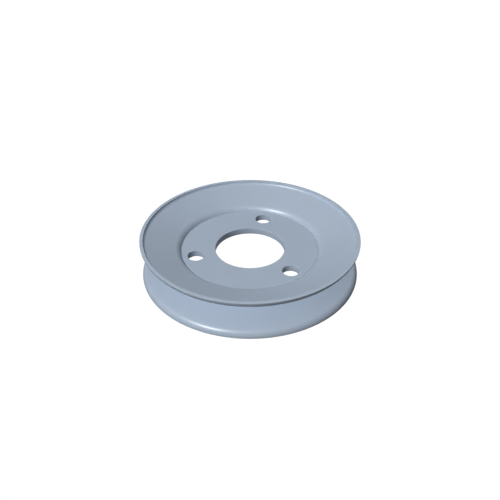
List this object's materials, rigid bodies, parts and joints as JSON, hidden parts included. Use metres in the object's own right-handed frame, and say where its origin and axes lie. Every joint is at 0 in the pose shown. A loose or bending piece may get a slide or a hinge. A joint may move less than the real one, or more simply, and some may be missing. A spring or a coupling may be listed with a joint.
{
  "type": "v belt pulley",
  "caption": "Pressed sheet-metal V-belt pulley: two dished flanges round a flat bolt-on hub disc with a pilot bore.",
  "frame": {"origin": "centre of the bore, halfway through the hub disc and halfway across the belt groove", "axes": "+Z along the shaft, +X through one bolt hole"},
  "size_m": [0.13, 0.13, 0.0242],
  "materials": {
    "flange_coating": "satin blue-grey coating on pressed steel sheet",
    "disc_coating": "satin blue-grey coating on blanked steel plate",
    "joint_coating": "satin blue-grey coating over a smooth brazed joint"
  },
  "bodies": {
    "root": {"upper_flange": "flange_coating", "lower_flange": "flange_coating", "hub_disc": "disc_coating", "braze_joint": "joint_coating"}
  },
  "joints": []
}
